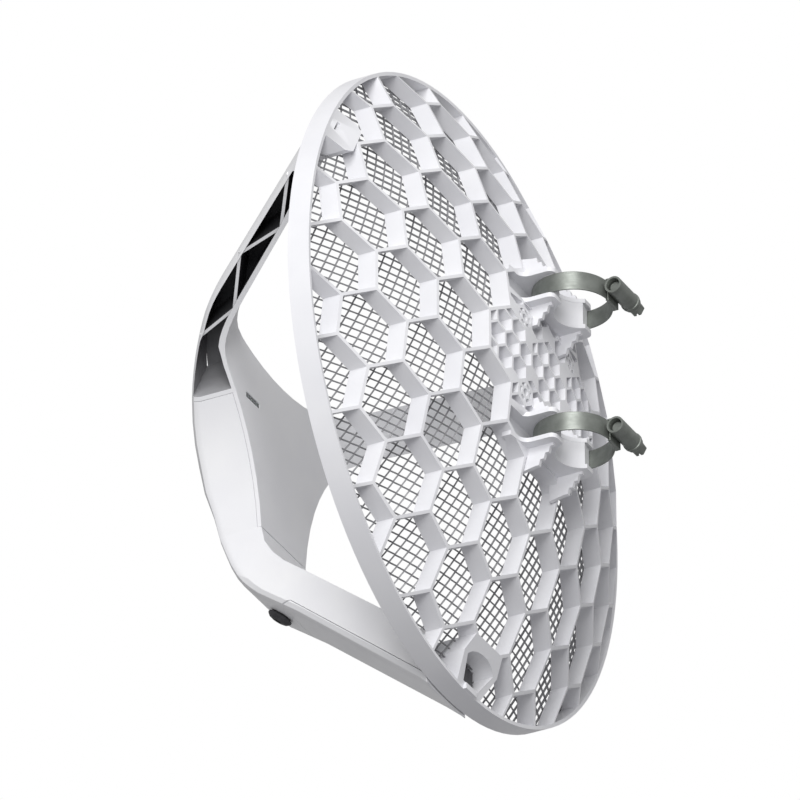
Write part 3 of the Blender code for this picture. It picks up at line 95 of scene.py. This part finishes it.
def mouldedPlastic(name, light, dark, roughness=0.38):
    # injection-moulded ASA, lightly spark-eroded, with slow flow shading and handling smudges
    material, tree, shader = newMaterial(name)
    place = addNode(tree, "ShaderNodeTexCoord").outputs["Object"]
    flow = addNode(tree, "ShaderNodeTexNoise", None,
                   {"Vector": place, "Scale": 18.0, "Detail": 3.0}).outputs["Fac"]
    grain = addNode(tree, "ShaderNodeTexNoise", None,
                    {"Vector": place, "Scale": 2600.0, "Detail": 2.0}).outputs["Fac"]
    smudge = addNode(tree, "ShaderNodeTexNoise", None, {"Vector": place, "Scale": 55.0, "Detail": 5.0,
                                                        "Roughness": 0.62}).outputs["Fac"]
    tree.links.new(ramp(tree, flow, 0.35, 0.65, dark, light), shader.inputs["Base Color"])
    rough = addNode(tree, "ShaderNodeMapRange", None, {"Value": smudge, "From Min": 0.3, "From Max": 0.7,
                                                       "To Min": roughness - 0.05, "To Max": roughness + 0.09})
    tree.links.new(rough.outputs["Result"], shader.inputs["Roughness"])
    bump = addNode(tree, "ShaderNodeBump", None, {"Height": grain, "Strength": 0.12, "Distance": 0.00006})
    tree.links.new(bump.outputs["Normal"], shader.inputs["Normal"])
    shader.inputs["IOR"].default_value = 1.5
    shader.inputs["Subsurface Weight"].default_value = 0.06
    shader.inputs["Subsurface Radius"].default_value = (0.004, 0.004, 0.004)
    return material


def paintedShadeMaterial(name, dark, light, roughness):
    # painted shade: charcoal inside the arms' channels, paler towards the hub, stands in for the shade in
    # these recesses; the real inner finish is a guess
    material, tree, shader = newMaterial(name)
    place = addNode(tree, "ShaderNodeTexCoord").outputs["Object"]
    flat = addNode(tree, "ShaderNodeVectorMath", {"operation": "MULTIPLY"}, {0: place, 1: (1.0, 0.0, 1.0)})
    far = addNode(tree, "ShaderNodeVectorMath", {"operation": "LENGTH"},
                  {0: flat.outputs["Vector"]}).outputs["Value"]
    cloud = addNode(tree, "ShaderNodeTexNoise", None,
                    {"Vector": place, "Scale": 70.0, "Detail": 4.0}).outputs["Fac"]
    mixed = addNode(tree, "ShaderNodeMath", {"operation": "MULTIPLY_ADD"},
                    {0: cloud, 1: 0.012, 2: far}).outputs["Value"]
    tree.links.new(ramp(tree, mixed, 0.063, 0.096, light, dark), shader.inputs["Base Color"])
    bump = addNode(tree, "ShaderNodeBump", None, {"Height": cloud, "Strength": 0.1, "Distance": 0.0001})
    tree.links.new(bump.outputs["Normal"], shader.inputs["Normal"])
    shader.inputs["Roughness"].default_value = roughness
    return material


def platedSteel(name, light, dark, roughness, metallic=0.85):
    # cold-rolled strip, zinc plated, with fine rolling lines and faint dulling
    material, tree, shader = newMaterial(name)
    place = addNode(tree, "ShaderNodeTexCoord").outputs["Object"]
    stretch = addNode(tree, "ShaderNodeMapping", None, {"Vector": place, "Scale": (220.0, 220.0, 3200.0)})
    lines = addNode(tree, "ShaderNodeTexNoise", None, {"Vector": stretch.outputs["Vector"], "Scale": 1.0,
                                                       "Detail": 2.0}).outputs["Fac"]
    dull = addNode(tree, "ShaderNodeTexNoise", None,
                   {"Vector": place, "Scale": 140.0, "Detail": 4.0}).outputs["Fac"]
    tree.links.new(ramp(tree, dull, 0.3, 0.7, dark, light), shader.inputs["Base Color"])
    rough = addNode(tree, "ShaderNodeMapRange", None, {"Value": lines, "From Min": 0.3, "From Max": 0.7,
                                                       "To Min": roughness - 0.07, "To Max": roughness + 0.1})
    tree.links.new(rough.outputs["Result"], shader.inputs["Roughness"])
    bump = addNode(tree, "ShaderNodeBump", None, {"Height": lines, "Strength": 0.15, "Distance": 0.00003})
    tree.links.new(bump.outputs["Normal"], shader.inputs["Normal"])
    shader.inputs["Metallic"].default_value = metallic
    return material


def darkRubber(name, light, dark):
    # moulded EPDM with a fine matt bloom
    material, tree, shader = newMaterial(name)
    place = addNode(tree, "ShaderNodeTexCoord").outputs["Object"]
    bloom = addNode(tree, "ShaderNodeTexNoise", None,
                    {"Vector": place, "Scale": 300.0, "Detail": 4.0}).outputs["Fac"]
    tree.links.new(ramp(tree, bloom, 0.3, 0.7, dark, light), shader.inputs["Base Color"])
    shader.inputs["Roughness"].default_value = 0.72
    bump = addNode(tree, "ShaderNodeBump", None, {"Height": bloom, "Strength": 0.2, "Distance": 0.00005})
    tree.links.new(bump.outputs["Normal"], shader.inputs["Normal"])
    return material


def solderMask(name):
    # glass-epoxy board under green solder mask, with faint track relief
    material, tree, shader = newMaterial(name)
    place = addNode(tree, "ShaderNodeTexCoord").outputs["Object"]
    tracks = addNode(tree, "ShaderNodeTexVoronoi", {"feature": "DISTANCE_TO_EDGE"},
                     {"Vector": place, "Scale": 260.0}).outputs["Distance"]
    tree.links.new(ramp(tree, tracks, 0.02, 0.12, "#2f7a44", "#17502b"), shader.inputs["Base Color"])
    shader.inputs["Roughness"].default_value = 0.32
    bump = addNode(tree, "ShaderNodeBump", None, {"Height": tracks, "Strength": 0.3, "Distance": 0.00004})
    tree.links.new(bump.outputs["Normal"], shader.inputs["Normal"])
    return material


def clearPlastic(name):
    # moulded clear polycarbonate light guide
    material, tree, shader = newMaterial(name)
    place = addNode(tree, "ShaderNodeTexCoord").outputs["Object"]
    haze = addNode(tree, "ShaderNodeTexNoise", None, {"Vector": place, "Scale": 400.0}).outputs["Fac"]
    rough = addNode(tree, "ShaderNodeMapRange", None, {"Value": haze, "To Min": 0.08, "To Max": 0.22})
    tree.links.new(rough.outputs["Result"], shader.inputs["Roughness"])
    shader.inputs["Base Color"].default_value = linearColour("#e8eef0")
    shader.inputs["Transmission Weight"].default_value = 0.85
    shader.inputs["IOR"].default_value = 1.58
    return material


whitePlastic = mouldedPlastic("whiteAsaMoulding", "#ebebee", "#e4e4e8")
headPlastic = mouldedPlastic("whiteHeadMoulding", "#f6f6f8", "#f1f1f4", 0.34)
# painted shade for the insides of the arms' channels and the leg tongue
paintedShadePlastic = paintedShadeMaterial("paintedShadeInterior", "#424245", "#a9a9ac", 0.5)
clampSteel = platedSteel("zincPlatedStrip", "#90948f", "#7d817c", 0.42, 0.7)
wireSteel = platedSteel("galvanisedWire", "#a6a6a8", "#8f8f92", 0.5, 0.45)
tinPlate = platedSteel("tinPlate", "#c9c9c6", "#b5b5b2", 0.28)
screwSteel = platedSteel("bareScrewSteel", "#b9bab8", "#9fa09e", 0.32)
glandRubber = darkRubber("glandRubber", "#4a4a4d", "#38383b")
blackPlastic = darkRubber("blackMouldedPlastic", "#1d1d1f", "#151517")
boardGreen = solderMask("greenBoard")
clearGuide = clearPlastic("clearGuide")
print("materials made")


# ---- pieces taken from the fixed model, with rounded edges
def select(target):
    bpy.ops.object.select_all(action="DESELECT")
    target.select_set(True)
    bpy.context.view_layer.objects.active = target


def roundedCopy(nodeName, pieceName, values, material, body="dish"):
    source = nodes[nodeName]
    copy = bpy.data.objects.new(pieceName, source.data.copy())
    bpy.context.collection.objects.link(copy)
    select(copy)
    bpy.ops.object.mode_set(mode="EDIT")
    bpy.ops.mesh.select_all(action="SELECT")
    bpy.ops.mesh.remove_doubles(threshold=cleaning["mergeDistance"])
    bpy.ops.mesh.dissolve_limited(angle_limit=math.radians(cleaning["flatAngle"]))
    bpy.ops.mesh.normals_make_consistent(inside=False)
    bpy.ops.object.mode_set(mode="OBJECT")
    copy.data.materials.clear()
    copy.data.materials.append(material)
    if values["edgeRound"] > 0.0:
        bevel = copy.modifiers.new("edges", "BEVEL")
        bevel.width = values["edgeRound"]
        bevel.segments = values["edgeSteps"]
        bevel.limit_method = "ANGLE"
        bevel.angle_limit = math.radians(values["sharpAngle"])
        bpy.ops.object.modifier_apply(modifier=bevel.name)
    bpy.ops.object.shade_smooth_by_angle(angle=math.radians(values["sharpAngle"]))
    even = copy.modifiers.new("evenNormals", "WEIGHTED_NORMAL")
    even.keep_sharp = True
    even.weight = cleaning["normalWeight"]
    bpy.ops.object.modifier_apply(modifier=even.name)
    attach(copy, body)
    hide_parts(nodeName)
    return copy


def paintFaces(piece, material, wanted):
    # gives the chosen faces a second material; here it carries the painted shade
    piece.data.materials.append(material)
    for face in piece.data.polygons:
        if wanted(face):
            face.material_index = 1


def paintedShadeChannelFaces(piece, values):
    # faces inside the arms' open channels that get the painted shade: those that look at another wall, and the
    # back wall
    tree = BVHTree.FromPolygons([v.co for v in piece.data.vertices],
                                [f.vertices for f in piece.data.polygons])
    turn = math.radians(values["armAngle"])

    def wanted(face):
        side = 1.0 if face.center.x > 0.0 else -1.0
        along = Vector((side * math.cos(turn), 0.0, math.sin(turn)))
        lower = Vector((side * math.sin(turn), 0.0, -math.cos(turn)))
        if not values["start"] < face.center.dot(along) < values["end"]:
            return False
        across = face.center.dot(lower)
        nearHub = face.center.dot(along) < values["flare"]
        if across < -values["backWall"] - (0.02 if nearHub else 0.0004):
            return False
        if face.normal.dot(lower) > 0.5:
            return across < -values["backWall"] + 0.0012
        hit = tree.ray_cast(face.center + face.normal * 0.0002, face.normal, 0.06)
        return hit[0] is not None
    return wanted


dishFrame = roundedCopy("dish_frame", "dishFrame", moulding, whitePlastic)
headBase = roundedCopy("head_base", "headBase", moulding, headPlastic)
# painted shade on the faces inside the arms' channels
paintFaces(headBase, paintedShadePlastic, paintedShadeChannelFaces(headBase, paintedShadeArmChannel))
headShell = roundedCopy("head_shell", "headShell", moulding, headPlastic)
# painted shade on the tongue inside the leg's latch opening
paintFaces(headShell, paintedShadePlastic,
           lambda face: face.center.z < paintedShadeLegTongue["top"] and face.center.y > paintedShadeLegTongue["front"])
legCover = roundedCopy("leg_cover", "legCover", moulding, headPlastic, "cover")
gland = roundedCopy("cable_gland", "cableGland", steelPiece, glandRubber)
print("mouldings made")

for side in ("upper", "lower"):
    band = roundedCopy("clamp_band_" + side, "clampBand" + side.title(), steelPiece, clampSteel)
    housing = roundedCopy("worm_housing_" + side, "wormHousing" + side.title(), steelPiece, clampSteel)
    screw = roundedCopy("worm_screw_" + side, "wormScrew" + side.title(), steelPiece, clampSteel,
                        "screw_" + side)
print("clamps made")

inside = (("circuit_board", boardGreen, "green_laminate"), ("patch_feed", tinPlate, "tinned_steel"),
          ("feed_spacer", whitePlastic, "white_plastic"), ("shield_can_large", tinPlate, "tinned_steel"),
          ("shield_can_small", tinPlate, "tinned_steel"), ("network_jack", blackPlastic, "black_plastic"),
          ("reset_switch", blackPlastic, "black_plastic"), ("light_pipe", clearGuide, "clear_plastic"),
          ("board_screw_1", screwSteel, "screw_steel"), ("board_screw_2", screwSteel, "screw_steel"),
          ("board_screw_3", screwSteel, "screw_steel"))
for nodeName, material, slotName in inside:
    piece = roundedCopy(nodeName, "part_" + nodeName, steelPiece, material)
piece = roundedCopy("reset_button", "part_reset_button", steelPiece, whitePlastic, "button")
print("inner pieces made")


# ---- woven wire reflector
def sheetDepth(x, z, values):
    share = (x * x + z * z) / (values["radius"] + 0.0005) ** 2
    return values["apex"] - values["sag"] * share - values["inFront"]


def makeWires(values):
    reach = values["radius"]
    rows = int(reach / values["acrossPitch"]) + 1
    columns = int(reach * (1.0 + values["lean"]) / values["leanPitch"]) + 1
    bpy.ops.object.select_all(action="DESELECT")
    bpy.ops.mesh.primitive_grid_add(x_subdivisions=2 * columns, y_subdivisions=2 * rows, size=2.0)
    wires = bpy.context.object
    wires.name = "reflectorWires"
    work = bmesh.new()
    work.from_mesh(wires.data)
    for vert in work.verts:
        row = vert.co.y * rows
        column = vert.co.x * columns
        z = row * values["acrossPitch"]
        x = column * values["leanPitch"] - z * values["lean"]
        vert.co = (x, 0.0, z)
    outside = [vert for vert in work.verts if math.hypot(vert.co.x, vert.co.z) > reach]
    edge = [e for e in work.edges if (e.verts[0] in outside) != (e.verts[1] in outside)]
    spare = [v for v in outside if all(e not in edge for e in v.link_edges)]
    bmesh.ops.delete(work, geom=spare, context="VERTS")
    for vert in work.verts:
        far = math.hypot(vert.co.x, vert.co.z)
        if far > reach:
            vert.co *= reach / far
    for vert in work.verts:
        vert.co.y = sheetDepth(vert.co.x, vert.co.z, values)
    work.to_mesh(wires.data)
    work.free()
    select(wires)
    skin = wires.modifiers.new("wires", "WIREFRAME")
    skin.thickness = values["wire"]
    skin.use_even_offset = False
    skin.use_boundary = True
    bpy.ops.object.modifier_apply(modifier=skin.name)
    bpy.ops.object.shade_smooth_by_angle(angle=math.radians(values["smoothAngle"]))
    wires.data.materials.append(wireSteel)
    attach(wires, "dish")
    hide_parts("reflector_mesh")
    return wires


makeWires(wireSheet)
print("wires made")

# ---- camera, floor and light
camera = bpy.data.objects.new("camera", bpy.data.cameras.new("camera"))
bpy.context.collection.objects.link(camera)
axes = [Vector(cameraValues[name]) for name in ("right", "up", "back")]
camera.matrix_world = Matrix.Translation(cameraValues["place"]) @ Matrix(axes).transposed().to_4x4()
camera.data.lens = cameraValues["lens"]
camera.data.sensor_width = 36.0
camera.data.clip_end = 100.0
bpy.context.scene.camera = camera

bpy.ops.object.select_all(action="DESELECT")
bpy.ops.mesh.primitive_plane_add(size=60.0, location=(0.0, 0.0, stageValues["floorHeight"]))
floor = bpy.context.object
floor.name = "floor"
# matt emulsion on a screed, rolled, with faint roller mottling
floorMaterial, floorTree, floorShader = newMaterial("rolledFloorPaint")
floorPlace = addNode(floorTree, "ShaderNodeTexCoord").outputs["Object"]
mottle = addNode(floorTree, "ShaderNodeTexNoise", None,
                 {"Vector": floorPlace, "Scale": 1.5, "Detail": 4.0}).outputs["Fac"]
floorTree.links.new(ramp(floorTree, mottle, 0.3, 0.7, stageValues["floorDark"], stageValues["floorLight"]),
                    floorShader.inputs["Base Color"])
floorShader.inputs["Roughness"].default_value = 0.85
floor.data.materials.append(floorMaterial)

# white surround: full white behind the object, softer where it lights it
world = bpy.data.worlds.new("studio")
bpy.context.scene.world = world
world.use_nodes = True
background = world.node_tree.nodes["Background"]
background.inputs["Color"].default_value = (1.0, 1.0, 1.0, 1.0)
seen = addNode(world.node_tree, "ShaderNodeLightPath").outputs["Is Camera Ray"]
strength = addNode(world.node_tree, "ShaderNodeMapRange", None,
                   {"Value": seen, "To Min": stageValues["sky"], "To Max": 1.0})
world.node_tree.links.new(strength.outputs["Result"], background.inputs["Strength"])
bpy.context.scene.view_settings.view_transform = "Standard"


def softLight(name, place, aim, size, power):
    data = bpy.data.lights.new(name, "AREA")
    data.size = size
    data.energy = power
    lamp = bpy.data.objects.new(name, data)
    lamp.location = place
    lamp.rotation_euler = (Vector(aim) - Vector(place)).to_track_quat("-Z", "Y").to_euler()
    bpy.context.collection.objects.link(lamp)
    return lamp


for name in ("key", "fill"):
    softLight(name, stageValues[name + "Place"], (0.0, 0.0, 0.0), stageValues[name + "Size"],
              stageValues[name + "Power"])
print("stage made")
